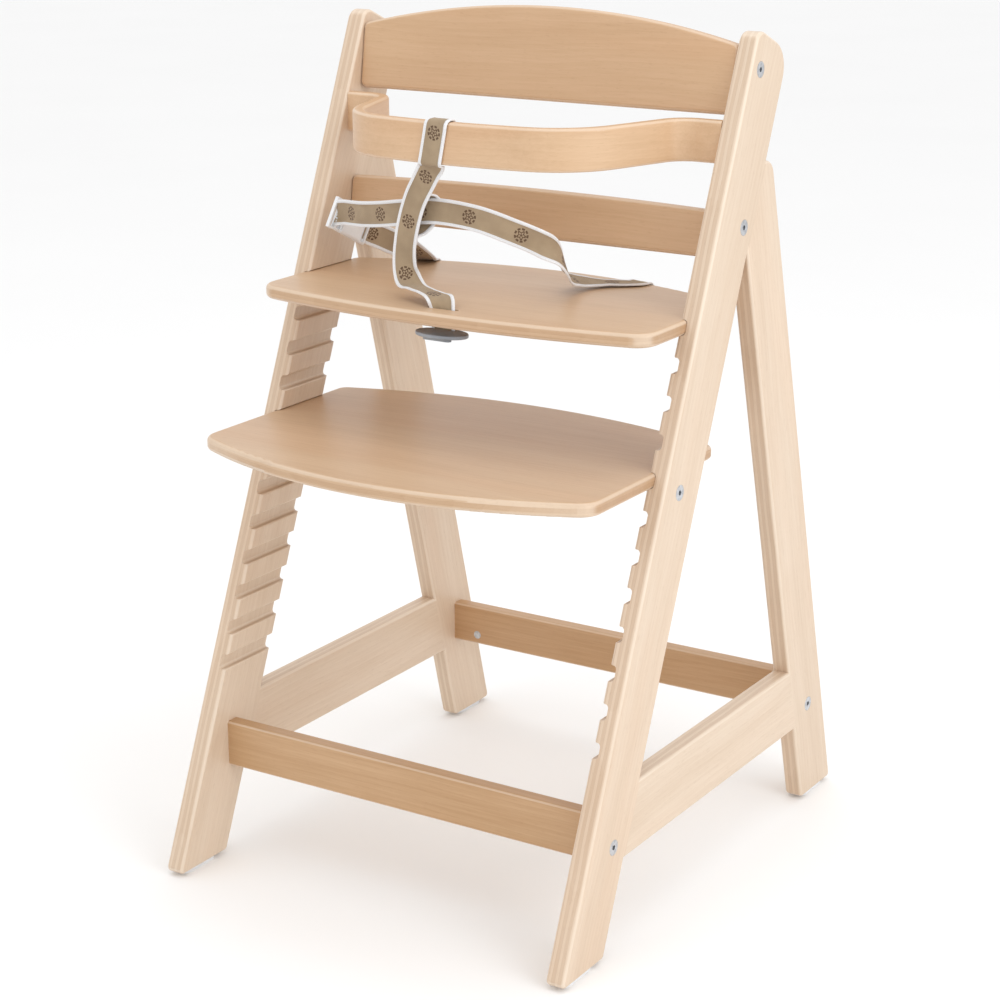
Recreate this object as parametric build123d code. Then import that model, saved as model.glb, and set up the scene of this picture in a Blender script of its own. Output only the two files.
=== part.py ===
from build123d import *
import os
from math import atan, cos, degrees, radians, sin, tan

# A wooden stair-type high chair for a small child.
# Two A-shaped side frames carry a seat plate and a footrest plate in rows of grooves. Cross rails, back slats, a
# bent safety bar and a clamp rod hold the sides together, and a webbing harness holds the child.
# Millimetres. X runs across the chair, Y from its front to its back, Z up. The parts are drawn with Y = 0 where the
# uprights' front edges meet the ground and Z = 0 at the undersides of the legs, and moved to the floor at the end.

# ---- Driving dimensions ----
FRAME_WIDTH = 510.0
SIDE_THICKNESS = 22.0
EDGE_ROUND = 4.0
CORNER_ROUND = 5.5

LEAN_SLOPE = 0.42
UPRIGHT_DEPTH = 82.0
UPRIGHT_LENGTH = 987.0
UPRIGHT_TOP_FRONT_ROUND = 15.0
UPRIGHT_TOP_BACK_ROUND = 30.0

FRAME_DEPTH = 629.6
LEG_SLOPE = 0.269
LEG_DEPTH = 77.3
LEG_TOP = 772.0
LEG_TOP_ROUND = 17.0
SIDE_RAIL_BOTTOM = 96.0
SIDE_RAIL_TOP = 172.0

GROOVE_COUNT = 12
GROOVE_PITCH = 36.4
GROOVE_DEPTH = 8.0
GROOVE_HEIGHT = 15.4
GROOVE_LIP_ROUND = 2.6
GROOVE_ROOT_ROUND = 4.0
PLATE_THICKNESS = 15.0
PLATE_EDGE_ROUND = 5.0
SEAT_UNDERSIDE = 614.0
FOOTREST_STEP = 4

RAIL_THICKNESS = 18.0
RAIL_EDGE_ROUND = 3.0
FRONT_RAIL_CENTRE_Y = 100.0
FRONT_RAIL_BOTTOM = 100.0
FRONT_RAIL_TOP = 152.0
REAR_RAIL_CENTRE_Y = 558.7
REAR_RAIL_BOTTOM = 105.0
REAR_RAIL_TOP = 154.0
RAIL_BOLT_HEIGHT = 117.0
RAIL_DOWEL_HEIGHT = 138.0

SLAT_THICKNESS = 20.0
SLAT_BOLT_DEPTH = 11.5
SLAT_TILT = 8.3
SLAT_BULGE = 5.0
SLAT_EDGE_ROUND = 4.0
SLAT_CORNER_ROUND = 8.0
TOP_SLAT_BOTTOM = 822.0
TOP_SLAT_FRONT_Y = 367.0
TOP_SLAT_END_HEIGHT = 71.0
TOP_SLAT_CROWN = 29.0
LOWER_SLAT_BOTTOM = 678.0
LOWER_SLAT_FRONT_Y = 341.0
LOWER_SLAT_END_HEIGHT = 48.5
LOWER_SLAT_CROWN = 4.0

BAR_THICKNESS = 13.0
BAR_BOTTOM = 775.0
BAR_TOP = 819.0
BAR_EDGE_ROUND = 4.0
BAR_END_Y = 350.0
BAR_SHOULDER_X = 183.0
BAR_CORNER_X = 137.0
BAR_CORNER_Y = 209.0
BAR_FRONT_Y = 194.0
BAR_SHOULDER_ROUND = 30.0
BAR_CORNER_BEND = 84.0
BAR_FRONT_BEND = 600.0

SEAT_FRONT_Y = 157.0
SEAT_FRONT_BEND = 1100.0
SEAT_BACK_Y = 418.0
SEAT_BACK_BEND = 548.0
FOOTREST_FRONT_Y = 18.5
FOOTREST_FRONT_BEND = 510.0
FOOTREST_BACK_Y = 373.0
FOOTREST_BACK_BEND = 690.0
PLATE_FRONT_CORNER = 26.0
PLATE_BACK_CORNER = 14.0
PLATE_SIDE_GAP = 0.3
PLATE_SEAT_GAP = 0.1

BOLT_DIAMETER = 6.0
BOLT_HEAD_DIAMETER = 16.5
BOLT_HEAD_THICKNESS = 2.6
BOLT_REACH = 70.0
BOLT_HOLE = 6.6
HEX_SOCKET = 5.0
HEX_SOCKET_DEPTH = 3.2
BARREL_NUT_DIAMETER = 10.0
BARREL_NUT_LENGTH = 13.0
BARREL_NUT_INSET = 34.0
ROD_DIAMETER = 8.0
ROD_SLEEVE_DIAMETER = 10.0
ROD_SLEEVE_LENGTH = 18.0
CLAMP_ROD_Y = 228.0
CLAMP_ROD_Z = 459.0
DOWEL_DIAMETER = 8.0
DOWEL_LENGTH = 38.0
DOWEL_END_GAP = 1.0

GLIDE_HEIGHT = 4.0
GLIDE_LENGTH = 52.0
GLIDE_WIDTH = 14.0
GLIDE_PIN_DIAMETER = 4.0
GLIDE_PIN_LENGTH = 14.0

WEBBING_WIDTH = 28.0
WEBBING_THICKNESS = 1.8
WEBBING_GAP = 0.4
STRAP_SLOT_LENGTH = 38.0
STRAP_SLOT_WIDTH = 6.0
STRAP_SLOT_Y = 182.0

# ---- Values that follow from them ----
SIDE_OUTER = FRAME_WIDTH / 2
SIDE_INNER = SIDE_OUTER - SIDE_THICKNESS
SIDE_MIDDLE = SIDE_OUTER - SIDE_THICKNESS / 2
LEAN = atan(LEAN_SLOPE)
UPRIGHT_WIDTH = UPRIGHT_DEPTH * cos(LEAN)
GROOVE_BACK = SIDE_INNER + GROOVE_DEPTH
PLATE_HALF_WIDTH = GROOVE_BACK - PLATE_SIDE_GAP
SEAT_TOP = SEAT_UNDERSIDE + PLATE_THICKNESS
FOOTREST_UNDERSIDE = SEAT_UNDERSIDE - FOOTREST_STEP * GROOVE_PITCH
FOOTREST_TOP = FOOTREST_UNDERSIDE + PLATE_THICKNESS
# The rear leg's front edge meets the upright's back edge at the crotch of the A.
CROTCH_Z = (FRAME_DEPTH - LEG_DEPTH - UPRIGHT_DEPTH) / (LEAN_SLOPE + LEG_SLOPE)


def side_point(along, across):
    """Point of the side view at a distance along the upright and across it from its front edge."""
    y = along * sin(LEAN) + across * cos(LEAN)
    z = along * cos(LEAN) - across * sin(LEAN)
    return (y, z)


def upright_back_y(z):
    return LEAN_SLOPE * z + UPRIGHT_DEPTH


def leg_back_y(z):
    return FRAME_DEPTH - LEG_SLOPE * z


def leg_front_y(z):
    return leg_back_y(z) - LEG_DEPTH


def cylinder_x(radius, x_from, x_to, y, z):
    """Solid cylinder along X."""
    centre = Location(((x_from + x_to) / 2, y, z), (0, 90, 0))
    return centre * Cylinder(radius, abs(x_to - x_from))


def cylinder_y(radius, x, y_from, y_to, z):
    """Solid cylinder along Y."""
    centre = Location((x, (y_from + y_to) / 2, z), (90, 0, 0))
    return centre * Cylinder(radius, abs(y_to - y_from))


def mirrored(part):
    return mirror(part, about=Plane.YZ)


def extrude_side(face):
    """A face of the side view, extruded over the thickness of the left side frame."""
    return Pos(-SIDE_OUTER, 0, 0) * extrude(Plane.YZ * face, SIDE_THICKNESS)


# ---- Side frames ----
def left_side_blank():
    """The glued-up left side frame, rounded all round, before it is taken apart into its pieces."""
    upright = make_face(FilletPolyline(
        (0, 0), (UPRIGHT_DEPTH, 0), side_point(UPRIGHT_LENGTH, UPRIGHT_WIDTH), side_point(UPRIGHT_LENGTH, 0),
        radius=[CORNER_ROUND, CORNER_ROUND, UPRIGHT_TOP_BACK_ROUND, UPRIGHT_TOP_FRONT_ROUND], close=True))
    leg = make_face(FilletPolyline(
        (leg_front_y(0), 0), (FRAME_DEPTH, 0), (leg_back_y(LEG_TOP), LEG_TOP),
        (upright_back_y(LEG_TOP) - UPRIGHT_DEPTH / 2, LEG_TOP), (upright_back_y(CROTCH_Z) - UPRIGHT_DEPTH / 2, CROTCH_Z),
        (leg_front_y(CROTCH_Z), CROTCH_Z),
        radius=[CORNER_ROUND, CORNER_ROUND, LEG_TOP_ROUND, 0, 0, 0], close=True))
    rail = make_face(Polyline(
        (upright_back_y(SIDE_RAIL_BOTTOM) - CORNER_ROUND, SIDE_RAIL_BOTTOM),
        (leg_front_y(SIDE_RAIL_BOTTOM) + CORNER_ROUND, SIDE_RAIL_BOTTOM),
        (leg_front_y(SIDE_RAIL_TOP) + CORNER_ROUND, SIDE_RAIL_TOP),
        (upright_back_y(SIDE_RAIL_TOP) - CORNER_ROUND, SIDE_RAIL_TOP), close=True))
    blank = extrude_side(upright + leg + rail)
    rims = ShapeList()
    for face in blank.faces().filter_by(Axis.X):
        rims += face.edges()
    return fillet(rims, EDGE_ROUND)


def joint_plane():
    """Plane of the upright's back edge, with its normal towards the rear leg."""
    return Plane(origin=(0, UPRIGHT_DEPTH, 0), x_dir=(1, 0, 0), z_dir=(0, cos(LEAN), -sin(LEAN)))


def leg_plane():
    """Plane of the rear leg's front edge, with its normal towards the leg."""
    angle = atan(LEG_SLOPE)
    return Plane(origin=(0, leg_front_y(0), 0), x_dir=(1, 0, 0), z_dir=(0, cos(angle), sin(angle)))


def groove_cutter(lip_z):
    """Groove for a plate's edge in the left upright: rounded lips, rounded roots, open at both ends."""
    half = GROOVE_HEIGHT / 2
    lip = GROOVE_LIP_ROUND
    # The lips' arcs stop a little short of running level with the face, as a cutter with a set depth leaves them.
    reach = lip - 0.25
    slot = RectangleRounded(2 * GROOVE_DEPTH, GROOVE_HEIGHT, GROOVE_ROOT_ROUND)
    mouth = Pos(-reach / 2, 0) * Rectangle(reach, GROOVE_HEIGHT + 2 * lip)
    for side in (-1, 1):
        mouth -= Pos(-reach, side * (half + lip)) * Circle(lip)
    outside = Pos(lip / 2, 0) * Rectangle(lip, GROOVE_HEIGHT + 2 * lip)
    profile = Plane.XZ * (slot + mouth + outside)
    length = UPRIGHT_DEPTH + 4 * CORNER_ROUND
    start = LEAN_SLOPE * lip_z + length - 2 * CORNER_ROUND
    return Pos(-SIDE_INNER, start, lip_z + half) * extrude(profile, length)


def bolt_hole(y, z):
    """Hole for a bolt through the left side frame, with the seat for its flush head."""
    shank = cylinder_x(BOLT_HOLE / 2, -SIDE_OUTER - 1, -SIDE_INNER + 1, y, z)
    head_seat = cylinder_x(BOLT_HEAD_DIAMETER / 2 + 0.15, -SIDE_OUTER - 1, -SIDE_OUTER + BOLT_HEAD_THICKNESS, y, z)
    return shank + head_seat


def left_dowel_sets():
    """Dowels of the left side frame: (centre y, centre z, direction) of those in the leg joint and the rail joints."""
    leg_joint = []
    start = CROTCH_Z / cos(LEAN) + UPRIGHT_WIDTH * tan(LEAN)
    for step in (12, 46, 82):
        y, z = side_point(start + step, UPRIGHT_WIDTH)
        leg_joint.append((y, z, (cos(LEAN), -sin(LEAN))))
    rail_joint = []
    for z in (SIDE_RAIL_BOTTOM + 19, SIDE_RAIL_TOP - 19):
        rail_joint.append((upright_back_y(z), z, (1, 0)))
        rail_joint.append((leg_front_y(z), z, (1, 0)))
    return leg_joint, rail_joint


def dowel_along(y, z, direction, length):
    """Dowel in the middle of the left side's thickness, along a direction of the side view."""
    plane = Plane(origin=(-SIDE_MIDDLE, y, z), x_dir=(1, 0, 0), z_dir=(0, direction[0], direction[1]))
    return plane * Cylinder(DOWEL_DIAMETER / 2, length)


def slat_bolt_centre(bottom_z, front_y, height):
    """Side-view position of a slat's bolt, behind the slat's front face, at a height above its lower edge."""
    tilt = radians(SLAT_TILT)
    y = front_y + height * sin(tilt) + SLAT_BOLT_DEPTH * cos(tilt)
    z = bottom_z + height * cos(tilt) - SLAT_BOLT_DEPTH * sin(tilt)
    return (y, z)


TOP_SLAT_BOLT = slat_bolt_centre(TOP_SLAT_BOTTOM, TOP_SLAT_FRONT_Y, 48)
TOP_SLAT_DOWEL = slat_bolt_centre(TOP_SLAT_BOTTOM, TOP_SLAT_FRONT_Y, 20)
LOWER_SLAT_BOLT = slat_bolt_centre(LOWER_SLAT_BOTTOM, LOWER_SLAT_FRONT_Y, 34)
LOWER_SLAT_DOWEL = slat_bolt_centre(LOWER_SLAT_BOTTOM, LOWER_SLAT_FRONT_Y, 13)
FRONT_RAIL_BOLT = (FRONT_RAIL_CENTRE_Y, RAIL_BOLT_HEIGHT)
FRONT_RAIL_DOWEL = (FRONT_RAIL_CENTRE_Y, RAIL_DOWEL_HEIGHT)
REAR_RAIL_BOLT = (REAR_RAIL_CENTRE_Y, RAIL_BOLT_HEIGHT)
REAR_RAIL_DOWEL = (REAR_RAIL_CENTRE_Y, RAIL_DOWEL_HEIGHT)
CLAMP_ROD = (CLAMP_ROD_Y, CLAMP_ROD_Z)
BAR_PINS = [(BAR_END_Y, BAR_BOTTOM + 11), (BAR_END_Y, BAR_TOP - 11)]
CROSS_DOWEL_DEPTH = 12.0


def cross_dowel_hole(y, z):
    """Blind hole in the left side's inner face for a dowel or pin that runs along X."""
    depth = CROSS_DOWEL_DEPTH + DOWEL_END_GAP
    return cylinder_x(DOWEL_DIAMETER / 2, -SIDE_INNER - depth, -SIDE_INNER + 1, y, z)


def left_side_pieces():
    """The left upright, rear leg and side rail."""
    blank = left_side_blank()
    upright = split(blank, joint_plane(), keep=Keep.BOTTOM)
    behind = split(blank, joint_plane(), keep=Keep.TOP)
    leg = split(behind, leg_plane(), keep=Keep.TOP)
    rail = split(behind, leg_plane(), keep=Keep.BOTTOM)
    rail = rail.solids().sort_by(Axis.Z)[0]
    for step in range(GROOVE_COUNT):
        upright -= groove_cutter(SEAT_UNDERSIDE - PLATE_SEAT_GAP - step * GROOVE_PITCH)
    for y, z in (TOP_SLAT_BOLT, LOWER_SLAT_BOLT, FRONT_RAIL_BOLT):
        upright -= bolt_hole(y, z)
    for y, z in (TOP_SLAT_DOWEL, LOWER_SLAT_DOWEL, FRONT_RAIL_DOWEL, *BAR_PINS):
        upright -= cross_dowel_hole(y, z)
    upright -= bolt_hole(*CLAMP_ROD)
    upright -= cylinder_x(ROD_SLEEVE_DIAMETER / 2 + 0.1, -SIDE_OUTER - 1, -SIDE_INNER + 1, *CLAMP_ROD)
    leg -= bolt_hole(*REAR_RAIL_BOLT)
    leg -= cross_dowel_hole(*REAR_RAIL_DOWEL)
    leg_joint, rail_joint = left_dowel_sets()
    for y, z, direction in leg_joint + rail_joint:
        hole = dowel_along(y, z, direction, DOWEL_LENGTH + 2 * DOWEL_END_GAP)
        upright -= hole
        leg -= hole
        rail -= hole
    return upright, leg, rail


def left_side_dowels():
    leg_joint, rail_joint = left_dowel_sets()
    leg_dowels = [dowel_along(y, z, direction, DOWEL_LENGTH) for y, z, direction in leg_joint]
    rail_dowels = [dowel_along(y, z, direction, DOWEL_LENGTH) for y, z, direction in rail_joint]
    return leg_dowels, rail_dowels


# ---- Cross pieces ----
RAIL_NUT_OFFSET = (RAIL_THICKNESS - BARREL_NUT_LENGTH) / 2
SLAT_NUT_OFFSET = SLAT_THICKNESS - SLAT_BOLT_DEPTH - BARREL_NUT_LENGTH / 2 - 0.6


def end_holes(piece, bolt, dowel, nut_offset):
    """Bores the bolt, barrel nut and dowel holes into both ends of a cross piece.

    nut_offset says how far the nuts' middles are behind the bolts. They are put in from that side.
    """
    open_side = 1 if nut_offset > 0 else -1
    nut_from_y = bolt[0] + nut_offset - open_side * (BARREL_NUT_LENGTH / 2 + 0.3)
    nut_to_y = bolt[0] + open_side * RAIL_THICKNESS
    for side in (-1, 1):
        nut_x = side * (SIDE_INNER - BARREL_NUT_INSET)
        inner_x = side * (SIDE_INNER - BOLT_REACH + SIDE_THICKNESS)
        piece -= cylinder_x(BOLT_HOLE / 2, side * (SIDE_INNER + 1), inner_x, *bolt)
        piece -= cylinder_y(BARREL_NUT_DIAMETER / 2 + 0.05, nut_x, nut_from_y, nut_to_y, bolt[1])
        dowel_x = side * (SIDE_INNER - CROSS_DOWEL_DEPTH * 2 - DOWEL_END_GAP)
        piece -= cylinder_x(DOWEL_DIAMETER / 2, side * (SIDE_INNER + 1), dowel_x, *dowel)
    return piece


def cross_rail(centre_y, bottom, top, bolt, dowel, nut_offset):
    """Rail between the side frames."""
    height = top - bottom
    section = RectangleRounded(RAIL_THICKNESS, height, RAIL_EDGE_ROUND)
    middle = Plane(origin=(-SIDE_INNER, centre_y, bottom + height / 2), x_dir=(0, 1, 0), z_dir=(1, 0, 0))
    rail = extrude(middle * section, 2 * SIDE_INNER)
    return end_holes(rail, bolt, dowel, nut_offset)


def back_slat(end_height, crown, bottom_z, front_y, bolt, dowel):
    """Slat that is hollowed towards the child, tilted, with an arched upper edge."""
    half = SIDE_INNER
    outline = make_face(FilletPolyline((half, end_height), (half, 0), (-half, 0), (-half, end_height),
                                       radius=[SLAT_CORNER_ROUND, SLAT_CORNER_ROUND])
                        + ThreePointArc((-half, end_height), (0, end_height + crown), (half, end_height)))
    outline = fillet(outline.vertices().group_by(Axis.Y)[-1], SLAT_CORNER_ROUND - 1)
    plate = extrude(Plane.XZ * outline, SLAT_THICKNESS * 2, both=True)
    bend = (half ** 2 + SLAT_BULGE ** 2) / (2 * SLAT_BULGE)
    centre_y = SLAT_BULGE - bend
    ring = Pos(0, centre_y) * (Circle(bend + SLAT_THICKNESS) - Circle(bend))
    slat = plate & Pos(0, 0, -SLAT_THICKNESS) * extrude(ring, end_height + crown + 2 * SLAT_THICKNESS)
    rims = ShapeList()
    for face in (slat.faces().sort_by(SortBy.AREA)[-1], slat.faces().sort_by(SortBy.AREA)[-2]):
        rims += face.edges()
    slat = fillet(rims, SLAT_EDGE_ROUND)
    slat = Location((0, front_y, bottom_z), (-SLAT_TILT, 0, 0)) * slat
    return end_holes(slat, bolt, dowel, SLAT_NUT_OFFSET)


def safety_bar():
    """Bent bar round the child: two ends against the uprights, tight shoulders, and a wide sweep in front."""
    right_half = [(BAR_CORNER_X, BAR_CORNER_Y), (BAR_SHOULDER_X, BAR_END_Y), (SIDE_INNER, BAR_END_Y)]
    left_half = [(-x, y) for x, y in reversed(right_half)]
    bends = [BAR_SHOULDER_ROUND, BAR_CORNER_BEND, BAR_FRONT_BEND, BAR_CORNER_BEND, BAR_SHOULDER_ROUND]
    plan = FilletPolyline(*left_half, (0, BAR_FRONT_Y), *right_half, radius=bends)
    height = BAR_TOP - BAR_BOTTOM
    path = Pos(0, 0, BAR_BOTTOM + height / 2) * plan
    start = Plane(origin=path @ 0, x_dir=(0, 1, 0), z_dir=path % 0)
    bar = sweep(start * RectangleRounded(BAR_THICKNESS, height, BAR_EDGE_ROUND), path=path)
    for side in (-1, 1):
        for y, z in BAR_PINS:
            end = side * (SIDE_INNER - CROSS_DOWEL_DEPTH * 2 - DOWEL_END_GAP)
            bar -= cylinder_x(DOWEL_DIAMETER / 2, side * (SIDE_INNER + 1), end, y, z)
    return bar


# ---- Plates ----
def plate(front_y, front_bend, back_y, back_bend, underside):
    """Plate with curved front and back edges and rounded corners; its sides run in the uprights' grooves."""
    half = PLATE_HALF_WIDTH
    front_drop = front_bend - (front_bend ** 2 - half ** 2) ** 0.5
    back_drop = back_bend - (back_bend ** 2 - half ** 2) ** 0.5
    front_left = (-half, front_y + front_drop)
    front_right = (half, front_y + front_drop)
    back_left = (-half, back_y - back_drop)
    back_right = (half, back_y - back_drop)
    outline = make_face(ThreePointArc(front_left, (0, front_y), front_right)
                        + Line(front_right, back_right)
                        + ThreePointArc(back_right, (0, back_y), back_left)
                        + Line(back_left, front_left))
    outline = fillet(outline.vertices().group_by(Axis.Y)[0], PLATE_FRONT_CORNER)
    outline = fillet(outline.vertices().group_by(Axis.Y)[-1], PLATE_BACK_CORNER)
    board = extrude(Pos(0, 0, underside) * outline, PLATE_THICKNESS)
    rims = board.edges().group_by(Axis.Z)[0] + board.edges().group_by(Axis.Z)[-1]
    return fillet(rims, PLATE_EDGE_ROUND)


def seat_plate():
    seat = plate(SEAT_FRONT_Y, SEAT_FRONT_BEND, SEAT_BACK_Y, SEAT_BACK_BEND, SEAT_UNDERSIDE)
    slot = Pos(0, STRAP_SLOT_Y, SEAT_UNDERSIDE - 1) * SlotOverall(STRAP_SLOT_LENGTH, STRAP_SLOT_WIDTH)
    seat -= extrude(slot, PLATE_THICKNESS + 2)
    for x, y in BELT_ANCHORS:
        seat -= Pos(x, y, SEAT_UNDERSIDE + SCREW_BITE / 2) * Cylinder(SCREW_DIAMETER / 2, SCREW_BITE)
    return seat


def footrest_plate():
    return plate(FOOTREST_FRONT_Y, FOOTREST_FRONT_BEND, FOOTREST_BACK_Y, FOOTREST_BACK_BEND, FOOTREST_UNDERSIDE)


# ---- Fasteners ----
def hex_socket(x_face, side, y, z):
    """Hexagonal recess for an Allen key in a head whose outer face is at x_face."""
    plane = Plane(origin=(x_face, y, z), x_dir=(0, 1, 0), z_dir=(side, 0, 0))
    across_corners = HEX_SOCKET / cos(radians(30))
    return extrude(plane * RegularPolygon(across_corners / 2, 6), -HEX_SOCKET_DEPTH)


def bolt(side, y, z):
    """Connecting bolt with a flush round head in one side frame; side is -1 for the left and +1 for the right."""
    head_end = side * (SIDE_OUTER - BOLT_HEAD_THICKNESS)
    tip = side * (SIDE_OUTER - BOLT_REACH)
    head = cylinder_x(BOLT_HEAD_DIAMETER / 2, side * SIDE_OUTER, head_end, y, z)
    collar = cylinder_x(BOLT_HOLE / 2 - 0.1, head_end, side * (SIDE_OUTER - HEX_SOCKET_DEPTH - 2), y, z)
    shank = cylinder_x(BOLT_DIAMETER / 2, head_end, tip, y, z)
    return head + collar + shank - hex_socket(side * SIDE_OUTER, side, y, z)


def barrel_nut(side, centre_y, z, bolt_y):
    """Cross-bored nut in a rail or slat, across the bolt."""
    x = side * (SIDE_INNER - BARREL_NUT_INSET)
    half = BARREL_NUT_LENGTH / 2
    body = cylinder_y(BARREL_NUT_DIAMETER / 2, x, centre_y - half, centre_y + half, z)
    reach = BARREL_NUT_DIAMETER
    return body - cylinder_x(BOLT_DIAMETER / 2 + 0.05, x - reach, x + reach, bolt_y, z)


def on_both_sides(make):
    return [make(side) for side in (-1, 1)]


def rail_bolts():
    bolts = []
    for y, z in (FRONT_RAIL_BOLT, REAR_RAIL_BOLT):
        bolts += on_both_sides(lambda side: bolt(side, y, z))
    return bolts


def rail_barrel_nuts():
    nuts = []
    for (y, z), offset in ((FRONT_RAIL_BOLT, RAIL_NUT_OFFSET), (REAR_RAIL_BOLT, -RAIL_NUT_OFFSET)):
        nuts += on_both_sides(lambda side: barrel_nut(side, y + offset, z, y))
    return nuts


def slat_bolts():
    bolts = []
    for y, z in (TOP_SLAT_BOLT, LOWER_SLAT_BOLT):
        bolts += on_both_sides(lambda side: bolt(side, y, z))
    return bolts


def slat_barrel_nuts():
    nuts = []
    for y, z in (TOP_SLAT_BOLT, LOWER_SLAT_BOLT):
        nuts += on_both_sides(lambda side: barrel_nut(side, y + SLAT_NUT_OFFSET, z, y))
    return nuts


def cross_dowels(places):
    """Dowels along X, half in the side frame and half in a cross piece."""
    dowels = []
    for y, z in places:
        for side in (-1, 1):
            ends = (side * (SIDE_INNER - 2 * CROSS_DOWEL_DEPTH), side * (SIDE_INNER + CROSS_DOWEL_DEPTH))
            dowels.append(cylinder_x(DOWEL_DIAMETER / 2, *ends, y, z))
    return dowels


def clamp_rod():
    half = SIDE_OUTER - HEX_SOCKET_DEPTH - BOLT_HEAD_THICKNESS
    return cylinder_x(ROD_DIAMETER / 2, -half, half, *CLAMP_ROD)


def clamp_sleeve_nut(side):
    head_end = side * (SIDE_OUTER - BOLT_HEAD_THICKNESS)
    head = cylinder_x(BOLT_HEAD_DIAMETER / 2, side * SIDE_OUTER, head_end, *CLAMP_ROD)
    sleeve = cylinder_x(ROD_SLEEVE_DIAMETER / 2, head_end, side * (SIDE_OUTER - ROD_SLEEVE_LENGTH), *CLAMP_ROD)
    rod_end = side * (SIDE_OUTER - HEX_SOCKET_DEPTH - BOLT_HEAD_THICKNESS)
    bore = cylinder_x(ROD_DIAMETER / 2 + 0.05, rod_end, side * (SIDE_OUTER - ROD_SLEEVE_LENGTH - 1), *CLAMP_ROD)
    return head + sleeve - bore - hex_socket(side * SIDE_OUTER, side, *CLAMP_ROD)


# ---- Glides ----
def glide(side, centre_y):
    """Plastic glide under a leg: a pad with rounded ends and a moulded pin that goes up into the leg."""
    centre = Pos(side * SIDE_MIDDLE, centre_y, -GLIDE_HEIGHT)
    pad = centre * extrude(Rot(0, 0, 90) * SlotOverall(GLIDE_LENGTH, GLIDE_WIDTH), GLIDE_HEIGHT)
    pin_height = GLIDE_HEIGHT / 2 + GLIDE_PIN_LENGTH / 2
    pin = centre * Pos(0, 0, pin_height) * Cylinder(GLIDE_PIN_DIAMETER / 2, GLIDE_PIN_LENGTH + GLIDE_HEIGHT)
    return pad + pin


FRONT_GLIDE_Y = UPRIGHT_DEPTH / 2
REAR_GLIDE_Y = FRAME_DEPTH - LEG_DEPTH / 2


def glide_pin_hole(side, centre_y):
    depth = GLIDE_PIN_LENGTH + 1
    return Pos(side * SIDE_MIDDLE, centre_y, depth / 2 - 0.5) * Cylinder(GLIDE_PIN_DIAMETER / 2, depth + 1)


# ---- Harness ----
SCREW_DIAMETER = 4.0
SCREW_BITE = 10.0
SCREW_HEAD_RADIUS = 4.5
WASHER_RADIUS = 8.0
WASHER_THICKNESS = 1.2
BELT_ANCHORS = [(-150.0, 362.0), (105.0, 372.0)]
BELT_UNDER_Z = SEAT_UNDERSIDE - WEBBING_GAP - WEBBING_THICKNESS / 2


def ribbon(stations, width=WEBBING_WIDTH):
    """Webbing through stations of (centre, direction of its width), as straight spans of one thickness."""
    sections = []
    for index, (centre, across) in enumerate(stations):
        before = Vector(stations[max(index - 1, 0)][0])
        after = Vector(stations[min(index + 1, len(stations) - 1)][0])
        tangent = (after - before).normalized()
        normal = tangent.cross(Vector(across)).normalized()
        plane = Plane(origin=centre, x_dir=Vector(across), z_dir=Vector(across).cross(normal))
        sections.append(plane * Rectangle(width, WEBBING_THICKNESS))
    return loft(sections, ruled=True)


STRAP_X = -21.0
STRAP_ROUTE = [(-22, 202, 774), (-35, 205, 757), (-49, 207, 738), (-60, 209, 711), (-68, 212, 685), (-71, 214, 662),
               (-64, 213, 643), (-44, 205, 635), (-20, 191, 633.5), (-5, 183.6, 631.5), (-1, 182, 625), (0, 182, 606)]


def crotch_strap():
    """Strap sewn round the safety bar, hanging down between the child's legs into the seat's slot."""
    stations = [(point, (1, 0, 0)) for point in STRAP_ROUTE]
    strap = ribbon(stations, WEBBING_WIDTH)
    return bar_loop() + strap


def bar_loop():
    """The strap's upper end: a flat sleeve of webbing round the bar."""
    gap = 0.6
    height = BAR_TOP - BAR_BOTTOM
    inner = RectangleRounded(BAR_THICKNESS + 2 * gap, height + 2 * gap, BAR_EDGE_ROUND)
    outer = RectangleRounded(BAR_THICKNESS + 2 * gap + 2 * WEBBING_THICKNESS,
                             height + 2 * gap + 2 * WEBBING_THICKNESS, BAR_EDGE_ROUND + WEBBING_THICKNESS)
    # The bar's front runs as an arc between its two corners, and the sleeve follows the arc's direction.
    rise = (BAR_CORNER_Y - BAR_FRONT_Y) / BAR_CORNER_X
    arc_y = BAR_FRONT_Y + BAR_FRONT_BEND * ((1 + rise ** 2) ** 0.5 - 1)
    slope = STRAP_X / BAR_FRONT_BEND
    centre = (STRAP_X, arc_y + STRAP_X ** 2 / (2 * BAR_FRONT_BEND), BAR_BOTTOM + height / 2)
    turn = Plane(origin=centre, x_dir=(-slope, 1, 0), z_dir=(1, slope, 0))
    return extrude(turn * (outer - inner), WEBBING_WIDTH / 2, both=True)


LOOP_ROUTE = [(-46, 211.5, 744), (-44, 224, 736), (-50, 236, 716), (-60, 236, 696), (-66, 226, 678), (-68, 217.5, 669)]


def crotch_belt_loop():
    """Second layer behind the crotch strap: the loop that the waist belt runs through."""
    return ribbon([(point, (1, 0, 0)) for point in LOOP_ROUTE])


def twisting(route, start_across, end_across):
    """Stations whose width turns evenly from one direction to another along a route."""
    last = len(route) - 1
    first = Vector(start_across)
    final = Vector(end_across)
    stations = []
    for index, point in enumerate(route):
        share = index / last
        before = Vector(route[max(index - 1, 0)])
        after = Vector(route[min(index + 1, last)])
        tangent = (after - before).normalized()
        across = first * (1 - share) + final * share
        across = across - tangent * across.dot(tangent)
        stations.append((point, tuple(across.normalized())))
    return stations


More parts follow.
